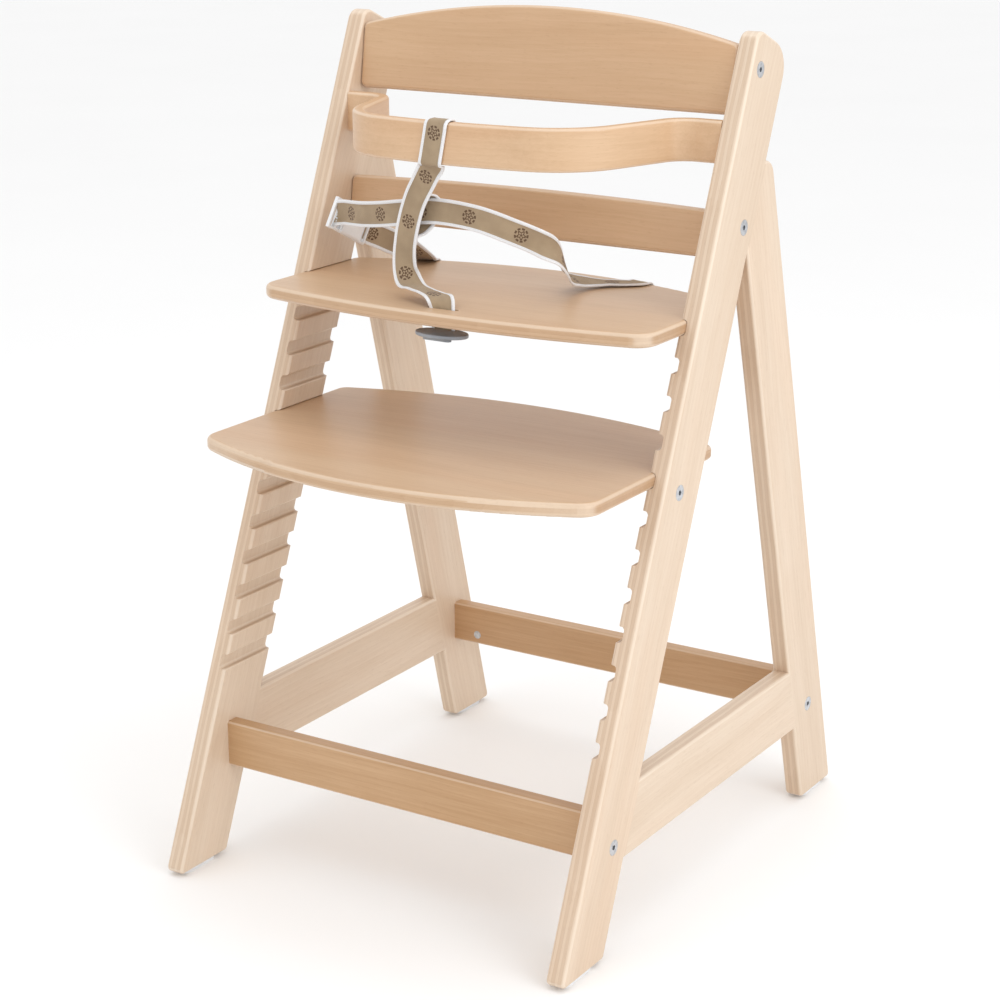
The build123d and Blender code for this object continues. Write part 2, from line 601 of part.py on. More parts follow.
def seat_edge_wrap():
    """Middle line of webbing round the seat's back edge, from below to above: (reach past the edge, height)."""
    radius = (PLATE_EDGE_ROUND + WEBBING_GAP + WEBBING_THICKNESS / 2) / cos(radians(15))
    points = []
    for angle in (-75, -45, -15):
        points.append((radius * cos(radians(angle)), radius * sin(radians(angle))))
    lower = [(x - PLATE_EDGE_ROUND, z + SEAT_UNDERSIDE + PLATE_EDGE_ROUND) for x, z in points]
    upper = [(x - PLATE_EDGE_ROUND, SEAT_TOP - PLATE_EDGE_ROUND - z) for x, z in reversed(points)]
    return lower + upper


def belt_tail(anchor, lift):
    """Belt from its screw under the seat, square round the seat's curved back edge and up on to its top."""
    bend_centre = Vector(0, SEAT_BACK_Y - SEAT_BACK_BEND, 0)
    from_centre = Vector(anchor[0], anchor[1], 0) - bend_centre
    out = from_centre.normalized()
    across = (out.Y, -out.X, 0)
    tail_end = from_centre.length - SEAT_BACK_BEND - 14
    profile = [(tail_end, BELT_UNDER_Z), *seat_edge_wrap(), (-18, SEAT_TOP + lift)]
    stations = []
    for reach, z in profile:
        point = bend_centre + out * (SEAT_BACK_BEND + reach)
        stations.append(((point.X, point.Y, z), across))
    return stations


BUCKLE_CENTRE = (-186.0, 292.0, 681.0)
BUCKLE_AXIS = (-0.16, -0.86, 0.48)
BUCKLE_WIDTH = 34.0
BUCKLE_THICKNESS = 9.0


def buckle_plane():
    """Plane of the buckle: its normal points along the buckle, from the plug towards the socket's far end."""
    axis = Vector(BUCKLE_AXIS).normalized()
    across = (Vector(0, 0, 1) - axis * axis.Z).normalized()
    return Plane(origin=BUCKLE_CENTRE, x_dir=across, z_dir=axis)


def buckle_point(across, deep, along):
    return tuple(buckle_plane().from_local_coords(Vector(across, deep, along)))


def buckle_socket():
    """Socket half: a flat sleeve, open towards the plug, with a bar for the belt at its far end."""
    outer = extrude(RectangleRounded(BUCKLE_WIDTH, BUCKLE_THICKNESS, 3.4), 24)
    cavity = extrude(Rectangle(BUCKLE_WIDTH - 5, BUCKLE_THICKNESS - 4.4), 20)
    belt_end = Pos(0, 0, 24) * extrude(RectangleRounded(BUCKLE_WIDTH, BUCKLE_THICKNESS - 3, 2.4), 11)
    belt_gap = Pos(0, 0, 29) * Box(WEBBING_WIDTH + 1.6, BUCKLE_THICKNESS + 2, 5.6)
    return buckle_plane() * (outer + belt_end - cavity - belt_gap)


def buckle_plug():
    """Plug half: a bar for the belt, a shoulder and two springy prongs that enter the socket."""
    shoulder = Pos(0, 0, -6) * extrude(RectangleRounded(BUCKLE_WIDTH, BUCKLE_THICKNESS - 1, 3), 5.6)
    belt_end = Pos(0, 0, -16) * extrude(RectangleRounded(BUCKLE_WIDTH, BUCKLE_THICKNESS - 3, 2.4), 10.5)
    belt_gap = Pos(0, 0, -11) * Box(WEBBING_WIDTH + 1.6, BUCKLE_THICKNESS + 2, 5.6)
    plug = shoulder + belt_end - belt_gap
    prong_gap = 0.4
    prong_offset = (BUCKLE_WIDTH - 5) / 2 - prong_gap - 2.4
    for side in (-1, 1):
        prong = Rectangle(4.8, BUCKLE_THICKNESS - 4.4 - 2 * prong_gap)
        plug += Pos(side * prong_offset, 0, -1) * extrude(prong, 18)
    tongue = Rectangle(8, BUCKLE_THICKNESS - 4.4 - 2 * prong_gap)
    plug += Pos(0, 0, -1) * extrude(tongue, 15)
    return buckle_plane() * plug


def screw_hole(anchor):
    x, y = anchor
    return Pos(x, y, BELT_UNDER_Z) * Cylinder(SCREW_DIAMETER / 2 + 0.2, 3 * WEBBING_THICKNESS)


def waist_belt_left():
    """Belt from the seat's back edge, left of the middle, forward to the buckle's plug."""
    anchor = BELT_ANCHORS[0]
    tail = belt_tail(anchor, 4)
    buckle_end = buckle_point(0, 0, -19)
    flight = twisting([(-149, 368, 641), (-152, 354, 647), (-158, 341, 653), (-166, 330, 659), (-175, 321, 665),
                       buckle_end], (1, -0.25, 0), (0, 0, 1))
    return ribbon(tail + flight) - screw_hole(anchor)


def waist_belt_right():
    """Belt from the buckle's socket, through the crotch strap's loop and back to the seat's right rear edge."""
    anchor = BELT_ANCHORS[1]
    start = buckle_point(0, 0, 38)
    upright_run = [start, (-190, 240, 704), (-176, 228, 706), (-155, 225.5, 708), (-120, 223.5, 709),
                   (-60, 223, 709), (-20, 232, 709), (20, 252, 705)]
    turning_run = [(50, 280, 690), (66, 300, 671), (74, 315, 652), (82, 332, 639), (90, 352, 633)]
    flight = twisting(upright_run, (0, 0, 1), (0, 0, 1)) + twisting(turning_run, (0.1, 0, 1), (1, 0.2, 0))
    tail = list(reversed(belt_tail(anchor, 1.6)))
    return ribbon(flight + tail) - screw_hole(anchor)


def strap_retainer():
    """Oval plastic plate under the seat that the crotch strap's end is sewn round."""
    disc = extrude(Ellipse(31, 18), 4)
    disc = fillet(disc.edges(), 1.2)
    lip = Pos(0, -9, -3) * extrude(SlotOverall(34, 7), 3.2)
    return Pos(0, STRAP_SLOT_Y - 3, SEAT_UNDERSIDE - 13) * (disc + lip)


def belt_washer(anchor):
    x, y = anchor
    ring = Circle(WASHER_RADIUS) - Circle(SCREW_DIAMETER / 2 + 0.3)
    z = BELT_UNDER_Z - WEBBING_THICKNESS / 2 - 0.1 - WASHER_THICKNESS
    return Pos(x, y, z) * extrude(ring, WASHER_THICKNESS)


def belt_screw(anchor):
    x, y = anchor
    head_top = BELT_UNDER_Z - WEBBING_THICKNESS / 2 - 0.1 - WASHER_THICKNESS - 0.05
    head = Pos(x, y, head_top - 1.2) * Cone(SCREW_HEAD_RADIUS / 2, SCREW_HEAD_RADIUS, 2.4)
    tip = SEAT_UNDERSIDE + SCREW_BITE - 1
    shank = Pos(x, y, (head_top + tip) / 2) * Cylinder(SCREW_DIAMETER / 2, tip - head_top)
    return head + shank


# ---- The whole chair ----
def build_nodes():
    """Every node of the chair, as lists of separate solids, in the frame they are drawn in."""
    upright, leg, rail = left_side_pieces()
    upright -= glide_pin_hole(-1, FRONT_GLIDE_Y)
    leg -= glide_pin_hole(-1, REAR_GLIDE_Y)
    leg_dowels, rail_dowels = left_side_dowels()
    return {
        "left_upright": [upright],
        "right_upright": [mirrored(upright)],
        "left_rear_leg": [leg],
        "right_rear_leg": [mirrored(leg)],
        "left_side_rail": [rail],
        "right_side_rail": [mirrored(rail)],
        "front_cross_rail": [cross_rail(FRONT_RAIL_CENTRE_Y, FRONT_RAIL_BOTTOM, FRONT_RAIL_TOP, FRONT_RAIL_BOLT,
                                        FRONT_RAIL_DOWEL, RAIL_NUT_OFFSET)],
        "rear_cross_rail": [cross_rail(REAR_RAIL_CENTRE_Y, REAR_RAIL_BOTTOM, REAR_RAIL_TOP, REAR_RAIL_BOLT,
                                       REAR_RAIL_DOWEL, -RAIL_NUT_OFFSET)],
        "top_back_slat": [back_slat(TOP_SLAT_END_HEIGHT, TOP_SLAT_CROWN, TOP_SLAT_BOTTOM, TOP_SLAT_FRONT_Y,
                                    TOP_SLAT_BOLT, TOP_SLAT_DOWEL)],
        "lower_back_slat": [back_slat(LOWER_SLAT_END_HEIGHT, LOWER_SLAT_CROWN, LOWER_SLAT_BOTTOM,
                                      LOWER_SLAT_FRONT_Y, LOWER_SLAT_BOLT, LOWER_SLAT_DOWEL)],
        "safety_bar": [safety_bar()],
        "seat_plate": [seat_plate()],
        "footrest_plate": [footrest_plate()],
        "clamp_rod": [clamp_rod()],
        "clamp_sleeve_nuts": on_both_sides(clamp_sleeve_nut),
        "rail_bolts": rail_bolts(),
        "rail_barrel_nuts": rail_barrel_nuts(),
        "slat_bolts": slat_bolts(),
        "slat_barrel_nuts": slat_barrel_nuts(),
        "cross_rail_dowels": cross_dowels([FRONT_RAIL_DOWEL, REAR_RAIL_DOWEL]),
        "slat_dowels": cross_dowels([TOP_SLAT_DOWEL, LOWER_SLAT_DOWEL]),
        "safety_bar_pins": cross_dowels(BAR_PINS),
        "rear_leg_dowels": leg_dowels + [mirrored(dowel) for dowel in leg_dowels],
        "side_rail_dowels": rail_dowels + [mirrored(dowel) for dowel in rail_dowels],
        "front_left_glide": [glide(-1, FRONT_GLIDE_Y)],
        "front_right_glide": [glide(1, FRONT_GLIDE_Y)],
        "rear_left_glide": [glide(-1, REAR_GLIDE_Y)],
        "rear_right_glide": [glide(1, REAR_GLIDE_Y)],
        "crotch_strap": [crotch_strap()],
        "crotch_belt_loop": [crotch_belt_loop()],
        "strap_retainer": [strap_retainer()],
        "waist_belt_left": [waist_belt_left()],
        "waist_belt_right": [waist_belt_right()],
        "buckle_socket": [buckle_socket()],
        "buckle_plug": [buckle_plug()],
        "belt_washers": [belt_washer(anchor) for anchor in BELT_ANCHORS],
        "belt_screws": [belt_screw(anchor) for anchor in BELT_ANCHORS],
    }


def as_shape(pieces):
    solids = [solid for piece in pieces for solid in piece.solids()]
    return solids[0] if len(solids) == 1 else Compound(solids)


def floor_shift(shapes):
    """Move that puts the bottom centre of the whole chair's box at the origin."""
    box = Compound(list(shapes.values())).bounding_box()
    return Pos(0, -(box.min.Y + box.max.Y) / 2, -box.min.Z)


SHAPES = {name: as_shape(pieces) for name, pieces in build_nodes().items()}
TO_FLOOR = floor_shift(SHAPES)
os.makedirs("parts", exist_ok=True)
for name, shape in SHAPES.items():
    export_step(TO_FLOOR * shape, f"parts/{name}.step")
print("moved to the floor by", TO_FLOOR.position)
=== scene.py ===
# %% [markdown]
# # The looks of a wooden stair-type high chair
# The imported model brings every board, plate, rail, bolt and glide in its right place. This script gives
# those pieces their wood, metal and plastic, and makes the soft harness again, because webbing bends in
# ways a plain solid doesn't show. All lengths are in metres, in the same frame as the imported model: X
# across the chair, Y from front to back, Z up, and the floor at Z = 0.

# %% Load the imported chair
import math

import bmesh
import bpy
from mathutils import Matrix, Vector


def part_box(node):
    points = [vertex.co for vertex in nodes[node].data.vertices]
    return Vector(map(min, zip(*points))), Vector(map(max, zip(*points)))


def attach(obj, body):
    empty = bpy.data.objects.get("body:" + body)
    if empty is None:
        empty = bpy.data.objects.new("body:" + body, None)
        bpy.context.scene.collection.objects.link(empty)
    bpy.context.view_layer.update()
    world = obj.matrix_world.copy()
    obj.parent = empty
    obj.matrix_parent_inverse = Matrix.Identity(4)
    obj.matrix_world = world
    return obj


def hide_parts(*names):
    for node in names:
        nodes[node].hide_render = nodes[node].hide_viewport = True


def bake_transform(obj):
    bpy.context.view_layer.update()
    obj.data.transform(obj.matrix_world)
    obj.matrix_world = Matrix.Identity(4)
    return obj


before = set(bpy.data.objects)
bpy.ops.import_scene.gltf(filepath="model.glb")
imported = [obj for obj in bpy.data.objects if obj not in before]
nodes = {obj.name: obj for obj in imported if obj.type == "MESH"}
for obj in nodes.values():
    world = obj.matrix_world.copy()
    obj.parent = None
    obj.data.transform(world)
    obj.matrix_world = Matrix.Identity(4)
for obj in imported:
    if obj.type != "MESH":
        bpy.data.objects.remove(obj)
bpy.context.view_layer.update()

# %% [markdown]
# ## Camera
# A long lens well back from the chair keeps the boards' edges nearly parallel, as they look from a distance.
# The camera could be aimed with a Track To constraint, but a plain rotation built from its turn, tilt and
# roll stays exactly where it is put. It stands to the chair's right, a little above it.

# %% Camera
CAMERA_PLACE = Vector((1.31832, -2.10853, 1.15071))
CAMERA_TURN = 0.5642
CAMERA_TILT = -0.2978
CAMERA_ROLL = -0.0035
LENS_MM = 84.53


def camera_rotation(turn, tilt, roll):
    ahead = Vector((-math.sin(turn) * math.cos(tilt), math.cos(turn) * math.cos(tilt), math.sin(tilt)))
    level_right = Vector((math.cos(turn), math.sin(turn), 0))
    level_up = level_right.cross(ahead)
    right = level_right * math.cos(roll) + level_up * math.sin(roll)
    up = level_up * math.cos(roll) - level_right * math.sin(roll)
    return Matrix((right, up, -ahead)).transposed()


camera_data = bpy.data.cameras.new("studio_camera")
camera_data.lens = LENS_MM
camera_data.sensor_width = 36
camera_data.shift_y = 0.004
camera = bpy.data.objects.new("studio_camera", camera_data)
camera.matrix_world = Matrix.Translation(CAMERA_PLACE) @ camera_rotation(
    CAMERA_TURN, CAMERA_TILT, CAMERA_ROLL).to_4x4()
bpy.context.scene.collection.objects.link(camera)
bpy.context.scene.camera = camera
print("camera", [round(v, 3) for v in CAMERA_PLACE], "lens", LENS_MM)

# %% [markdown]
# ## Studio light
# The chair was lit softly, with the brightest light from its right, so the outer faces of the side frames
# are nearly white and the faces that look forward are a warm tan. Large area lights give that without
# hard shadows. The world is a plain white, which fills the rest.

# %% Lights
def soft_light(name, place, aim, width, watts, colour=(1, 1, 1)):
    data = bpy.data.lights.new(name, "AREA")
    data.shape = "SQUARE"
    data.size = width
    data.energy = watts
    data.color = colour
    light = bpy.data.objects.new(name, data)
    light.location = place
    light.rotation_euler = (Vector(aim) - Vector(place)).to_track_quat("-Z", "Y").to_euler()
    bpy.context.scene.collection.objects.link(light)
    return light


soft_light("right_soft_box", (2.6, -0.6, 1.5), (0, 0, 0.5), 1.8, 23, (0.93, 0.97, 1.0))
soft_light("front_soft_box", (-0.9, -2.8, 1.9), (0, 0, 0.5), 1.6, 6, (1.0, 0.985, 0.96))
soft_light("top_soft_box", (0.1, 0.2, 2.8), (0, 0, 0.4), 1.8, 10)
world = bpy.data.worlds.new("studio_white")
world.use_nodes = True
world.node_tree.nodes["Background"].inputs["Color"].default_value = (1, 1, 1, 1)
world.node_tree.nodes["Background"].inputs["Strength"].default_value = 1.0
bpy.context.scene.world = world
bpy.context.scene.view_settings.view_transform = "Standard"

# %% [markdown]
# ## Floor
# The floor is a wide sheet of matt paper. One grid that is large enough to fill the view is all it needs.

# %% Floor
def new_object(name, mesh):
    piece = bpy.data.objects.new(name, mesh)
    bpy.context.scene.collection.objects.link(piece)
    return piece


def paper_floor():
    shape = bmesh.new()
    bmesh.ops.create_grid(shape, x_segments=1, y_segments=1, size=14)
    mesh = bpy.data.meshes.new("studio_floor")
    shape.to_mesh(mesh)
    shape.free()
    return new_object("studio_floor", mesh)


floor = paper_floor()
print("floor", floor.name)

# %% [markdown]
# ## Building materials with code
# Every material below is a small tree of nodes. Two helpers keep the trees short: one adds a node and
# sets its sockets, the other opens a new group, which is a tree that several materials share.

# %% Node helpers
def add(tree, kind, sockets=None, **settings):
    """A node of one kind. Socket values are numbers, colours or other nodes' outputs."""
    node = tree.nodes.new(kind)
    for name, value in settings.items():
        setattr(node, name, value)
    for name, value in (sockets or {}).items():
        if isinstance(value, bpy.types.NodeSocket):
            tree.links.new(value, node.inputs[name])
        else:
            node.inputs[name].default_value = value
    return node


def math_node(tree, operation, first, second=0.0, third=0.0, clamp=False):
    sockets = {0: first, 1: second, 2: third}
    return add(tree, "ShaderNodeMath", sockets, operation=operation, use_clamp=clamp).outputs[0]


def mix_colour(tree, amount, first, second, blend="MIX"):
    node = add(tree, "ShaderNodeMix", data_type="RGBA", blend_type=blend)
    for index, value in ((0, amount), (6, first), (7, second)):
        if isinstance(value, bpy.types.NodeSocket):
            tree.links.new(value, node.inputs[index])
        else:
            node.inputs[index].default_value = value
    return node.outputs[2]


def between(tree, value, low, high, to_low=0.0, to_high=1.0):
    """Value read off a smooth ramp from low to high."""
    sockets = {"Value": value, "From Min": low, "From Max": high, "To Min": to_low, "To Max": to_high}
    node = add(tree, "ShaderNodeMapRange", sockets, interpolation_type="SMOOTHSTEP")
    return node.outputs[0]


def scaled(tree, vector, factors):
    return add(tree, "ShaderNodeVectorMath", {0: vector, 1: factors}, operation="MULTIPLY").outputs[0]


def stretched_noise(tree, vector, factors, detail=2, roughness=0.5):
    """Noise whose grains are drawn out: a small factor makes them long in that direction."""
    sockets = {"Vector": scaled(tree, vector, factors), "Scale": 1, "Detail": detail, "Roughness": roughness}
    return add(tree, "ShaderNodeTexNoise", sockets)


def darkened(tree, colour, tint):
    return mix_colour(tree, 1.0, colour, tint, "MULTIPLY")


def new_group(name, inputs, outputs):
    """A shared node group with named sockets. Returns its tree, its input node and its output node."""
    tree = bpy.data.node_groups.new(name, "ShaderNodeTree")
    for socket, (kind, value) in inputs.items():
        made = tree.interface.new_socket(socket, in_out="INPUT", socket_type=kind)
        if value is not None:
            made.default_value = value
    for socket, kind in outputs.items():
        tree.interface.new_socket(socket, in_out="OUTPUT", socket_type=kind)
    return tree, tree.nodes.new("NodeGroupInput"), tree.nodes.new("NodeGroupOutput")


FLOAT = "NodeSocketFloat"
COLOUR = "NodeSocketColor"
VECTOR = "NodeSocketVector"
print("helpers ready")

# %% [markdown]
# ## Wood figure
# Beech and birch are pale, with broad soft bands, fine fibres and short dark flecks, all drawn out along
# the grain. Noise that is squeezed across the grain and stretched along it gives each of those. The group
# reads coordinates whose X runs along the grain and whose Y runs through the board's thickness, so each
# board only has to turn its own coordinates first. The flecks and fibres also give the height that a
# lacquered surface still shows.

# %% The wood figure group
def wood_figure_group():
    tree, given, result = new_group(
        "wood_figure",
        {"Vector": (VECTOR, None),
         "Pale": (COLOUR, (0.8, 0.6, 0.4, 1)), "Deep": (COLOUR, (0.6, 0.4, 0.25, 1)),
         "Figure": (FLOAT, 1.0), "Flecks": (FLOAT, 1.0)},
        {"Color": COLOUR, "Height": FLOAT, "Roughness": FLOAT})
    place = given.outputs["Vector"]
    warp = stretched_noise(tree, place, (2.2, 5, 5))
    drift = scaled(tree, warp.outputs["Color"], (0.0, 0.05, 0.05))
    bent = add(tree, "ShaderNodeVectorMath", {0: place, 1: drift}, operation="ADD").outputs[0]
    bands = stretched_noise(tree, bent, (2.4, 46, 46), 3, 0.55).outputs[0]
    rings = add(tree, "ShaderNodeTexWave", {"Vector": scaled(tree, bent, (0.9, 30, 30)), "Scale": 1.4,
                                            "Distortion": 3.2, "Detail": 2, "Detail Scale": 1.2},
                wave_type="BANDS", bands_direction="Z", wave_profile="SAW").outputs["Fac"]
    fibres = stretched_noise(tree, place, (16, 520, 520), 3, 0.7).outputs[0]
    flecks = stretched_noise(tree, place, (110, 900, 900), 1).outputs[0]
    fleck_mask = math_node(tree, "MULTIPLY", between(tree, flecks, 0.63, 0.72), given.outputs["Flecks"])
    blotch = stretched_noise(tree, place, (4, 11, 11), 3)
    blush = stretched_noise(tree, bent, (1.6, 14, 14))
    tone = math_node(tree, "MULTIPLY_ADD", between(tree, bands, 0.3, 0.7), 0.34,
                     math_node(tree, "MULTIPLY", rings, 0.2))
    tone = math_node(tree, "MULTIPLY_ADD", between(tree, fibres, 0.3, 0.7), 0.26, tone)
    tone = math_node(tree, "MULTIPLY_ADD", between(tree, blotch.outputs[0], 0.35, 0.65), 0.2, tone)
    tone = math_node(tree, "MULTIPLY", tone, given.outputs["Figure"], clamp=True)
    body = mix_colour(tree, tone, given.outputs["Pale"], given.outputs["Deep"])
    body = mix_colour(tree, between(tree, blush.outputs[0], 0.42, 0.68, 0.0, 0.5), body,
                      darkened(tree, body, (1.0, 0.93, 0.88, 1)))
    dark = darkened(tree, body, (0.62, 0.52, 0.43, 1))
    colour = mix_colour(tree, math_node(tree, "MULTIPLY", fleck_mask, 0.55), body, dark)
    height = math_node(tree, "SUBTRACT", math_node(tree, "MULTIPLY", fibres, 0.5), fleck_mask)
    rough = math_node(tree, "MULTIPLY_ADD", fibres, 0.16, 0.36)
    tree.links.new(colour, result.inputs["Color"])
    tree.links.new(height, result.inputs["Height"])
    tree.links.new(rough, result.inputs["Roughness"])
    return tree


wood_figure = wood_figure_group()
print("group", wood_figure.name, len(wood_figure.nodes), "nodes")

# %% [markdown]
# ## Plywood edges and painted edge highlights
# The boards are glued up from thin sheets, so their narrow edges show pale and dark stripes that run
# along the board. A stripe is a function of the depth in the board. It should only show where the surface
# looks sideways out of the board, which the surface's own normal tells. Where an edge is rounded over,
# it catches the light, so it is painted a little paler as a painted highlight: the normal tells that too,
# since it then points between two of the board's directions.

# %% The board edge group
def board_edge_group():
    tree, given, result = new_group(
        "board_edge",
        {"Vector": (VECTOR, None), "Normal": (VECTOR, None), "Wood": (COLOUR, (0.7, 0.5, 0.35, 1)),
         "Ply Thickness": (FLOAT, 0.0016), "Stripes": (FLOAT, 1.0), "Edge Highlight": (FLOAT, 1.0)},
        {"Color": COLOUR, "Height": FLOAT})
    split = add(tree, "ShaderNodeSeparateXYZ", {0: given.outputs["Vector"]})
    facing = add(tree, "ShaderNodeSeparateXYZ", {0: given.outputs["Normal"]})
    along, through, wide = [math_node(tree, "ABSOLUTE", facing.outputs[i]) for i in range(3)]
    edge = between(tree, through, 0.82, 0.35)
    wobble = stretched_noise(tree, given.outputs["Vector"], (9, 40, 25)).outputs[0]
    depth = math_node(tree, "MULTIPLY_ADD", wobble, 0.004, split.outputs["Y"])
    layer = math_node(tree, "DIVIDE", depth, given.outputs["Ply Thickness"])
    wave = math_node(tree, "PINGPONG", layer, 1.0)
    stripe = between(tree, wave, 0.3, 0.7)
    glue = between(tree, math_node(tree, "ABSOLUTE", math_node(tree, "SUBTRACT", wave, 0.5)), 0.07, 0.0)
    amount = math_node(tree, "MULTIPLY", edge, given.outputs["Stripes"])
    striped = mix_colour(tree, math_node(tree, "MULTIPLY", stripe, 0.3), given.outputs["Wood"],
                         darkened(tree, given.outputs["Wood"], (0.70, 0.58, 0.46, 1)))
    striped = mix_colour(tree, math_node(tree, "MULTIPLY", glue, 0.4), striped,
                         darkened(tree, striped, (0.55, 0.42, 0.32, 1)))
    with_edge = mix_colour(tree, amount, given.outputs["Wood"], striped)
    end_grain = between(tree, along, 0.75, 0.95)
    with_end = mix_colour(tree, math_node(tree, "MULTIPLY", end_grain, 0.35), with_edge,
                          darkened(tree, with_edge, (0.62, 0.5, 0.4, 1)))
    most = math_node(tree, "MAXIMUM", math_node(tree, "MAXIMUM", through, wide), along)
    # Rounded edges are painted paler here, as a painted highlight.
    highlight_mask = math_node(tree, "MULTIPLY", between(tree, most, 0.985, 0.86), given.outputs["Edge Highlight"])
    highlighted = mix_colour(tree, math_node(tree, "MULTIPLY", highlight_mask, 0.26), with_end, (0.93, 0.84, 0.72, 1))
    height = math_node(tree, "MULTIPLY", math_node(tree, "MULTIPLY", glue, amount), -1.0)
    tree.links.new(highlighted, result.inputs["Color"])
    tree.links.new(height, result.inputs["Height"])
    return tree


board_edge = board_edge_group()
print("group", board_edge.name, len(board_edge.nodes), "nodes")

# %% [markdown]
# ## Lacquered wood
# One function makes the wood of every straight board: it turns the coordinates and the normal so that X
# runs along the grain and Y through the thickness, then lays the two groups over each other. A thin clear
# coat over a satin base is what children's furniture is finished with, and it gives the soft highlights
# along the rounded edges.

# %% Lacquered wood
def empty_material(name):
    material = bpy.data.materials.new(name)
    material.use_nodes = True
    tree = material.node_tree
    tree.nodes.clear()
    surface = tree.nodes.new("ShaderNodeBsdfPrincipled")
    output = tree.nodes.new("ShaderNodeOutputMaterial")
    tree.links.new(surface.outputs[0], output.inputs["Surface"])
    return material, tree, surface


def wood_from(tree, surface, place, facing, pale, deep, figure, flecks, ply, stripes, edge_highlight=1.0, coat=0.22):
    figured = add(tree, "ShaderNodeGroup", node_tree=wood_figure)
    tree.links.new(place, figured.inputs["Vector"])
    figured.inputs["Pale"].default_value = (*pale, 1)
    figured.inputs["Deep"].default_value = (*deep, 1)
    figured.inputs["Figure"].default_value = figure
    figured.inputs["Flecks"].default_value = flecks
    edged = add(tree, "ShaderNodeGroup", node_tree=board_edge)
    tree.links.new(place, edged.inputs["Vector"])
    tree.links.new(facing, edged.inputs["Normal"])
    tree.links.new(figured.outputs["Color"], edged.inputs["Wood"])
    edged.inputs["Ply Thickness"].default_value = ply
    edged.inputs["Stripes"].default_value = stripes
    # This sets the strength of the painted highlight on rounded edges.
    edged.inputs["Edge Highlight"].default_value = edge_highlight
    height = math_node(tree, "ADD", figured.outputs["Height"], edged.outputs["Height"])
    bump = add(tree, "ShaderNodeBump", {"Strength": 0.22, "Distance": 0.00035, "Height": height})
    tree.links.new(edged.outputs["Color"], surface.inputs["Base Color"])
    tree.links.new(figured.outputs["Roughness"], surface.inputs["Roughness"])
    tree.links.new(bump.outputs[0], surface.inputs["Normal"])
    surface.inputs["Coat Weight"].default_value = coat
    surface.inputs["Coat Roughness"].default_value = 0.28
    surface.inputs["Specular IOR Level"].default_value = 0.4


PLY_SHEET = 0.0037


def board_wood(name, turn_degrees, pale, deep, figure=1.0, flecks=0.3, ply=PLY_SHEET, stripes=1.0,
               shift=(0, 0, 0)):
    """Wood of a straight board. The turn brings the grain to X and the thickness to Y."""
    material, tree, surface = empty_material(name)
    turn = tuple(math.radians(v) for v in turn_degrees)
    source = tree.nodes.new("ShaderNodeTexCoord")
    placing = {"Vector": source.outputs["Object"], "Rotation": turn, "Location": shift}
    place = add(tree, "ShaderNodeMapping", placing)
    facing = add(tree, "ShaderNodeMapping", {"Vector": source.outputs["Normal"], "Rotation": turn})
    wood_from(tree, surface, place.outputs[0], facing.outputs[0], pale, deep, figure, flecks, ply, stripes)
    return material


UPRIGHT_LEAN = math.degrees(math.atan(0.42))
LEG_LEAN = -math.degrees(math.atan(0.269))
SLAT_TILT = 8.3
BIRCH_PALE = (0.72, 0.585, 0.455)
BIRCH_DEEP = (0.615, 0.465, 0.335)
# The slat, rail, seat and footrest colours below are darker than the side boards' by painted shade, for
# pieces that face forward or up, away from the brightest light at the right.
SLAT_SHADED_PALE = (0.63, 0.42, 0.255)
SLAT_SHADED_DEEP = (0.50, 0.305, 0.16)
RAIL_SHADED_PALE = (0.58, 0.37, 0.21)
RAIL_SHADED_DEEP = (0.46, 0.27, 0.13)
PLATE_SHADED_PALE = (0.62, 0.435, 0.28)
PLATE_SHADED_DEEP = (0.53, 0.345, 0.205)


def leaning(lean):
    return (-(90 - lean), 0, -90)


wood_of = {}
for index, side in enumerate(("left", "right")):
    own = (0.37 * index, 0.11 * index, 0.23 * index)
    for board, turn, further in (("upright", leaning(UPRIGHT_LEAN), 0), ("rear_leg", leaning(LEG_LEAN), 0.6),
                                 ("side_rail", (0, 0, -90), 1.3)):
        label = side + "_" + board.replace("rear_", "") + "_birch"
        wood_of[side + "_" + board] = board_wood(label, turn, BIRCH_PALE, BIRCH_DEEP,
                                                 shift=(own[0] + further, own[1], own[2]))
for rail, shift in (("front", (0, 0, 0)), ("rear", (0.4, 0, 0.3))):
    wood_of[rail + "_cross_rail"] = board_wood(rail + "_rail_shaded_beech", (0, 0, 0), RAIL_SHADED_PALE, RAIL_SHADED_DEEP,
                                               figure=1.15, stripes=0.3, shift=shift)
wood_of["top_back_slat"] = board_wood("top_slat_shaded_beech", (SLAT_TILT, 0, 0), SLAT_SHADED_PALE, SLAT_SHADED_DEEP, figure=0.75,
                                      stripes=0.6, shift=(0.2, 0, 0.5))
wood_of["lower_back_slat"] = board_wood("lower_slat_shaded_beech", (SLAT_TILT, 0, 0), SLAT_SHADED_PALE, SLAT_SHADED_DEEP, figure=0.8,
                                        stripes=0.6, shift=(0.9, 0, 0.2))
wood_of["seat_plate"] = board_wood("seat_shaded_ply", (90, 0, 0), PLATE_SHADED_PALE, PLATE_SHADED_DEEP, figure=0.9, stripes=0.8)
wood_of["footrest_plate"] = board_wood("footrest_shaded_ply", (90, 0, 0), PLATE_SHADED_PALE, PLATE_SHADED_DEEP, figure=0.9,
                                       stripes=0.8, shift=(0.7, 0, 0.4))
print("woods", len(wood_of))

# %% [markdown]
# ## Bentwood
# The safety bar is a stack of thin sheets glued in a curved mould, so its grain runs round the bend. A
# straight pattern would cut across the arms. Here the pattern's length is the angle round a point behind
# the bar, times the bar's mean radius, and its depth is the distance from that point, so both follow the
# curve.

# %% Bentwood for the safety bar
BEND_SETBACK = 0.02
bar_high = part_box("safety_bar")[1]
BEND_CENTRE = (0.0, bar_high.y - BEND_SETBACK, 0.0)
BEND_RADIUS = 0.17


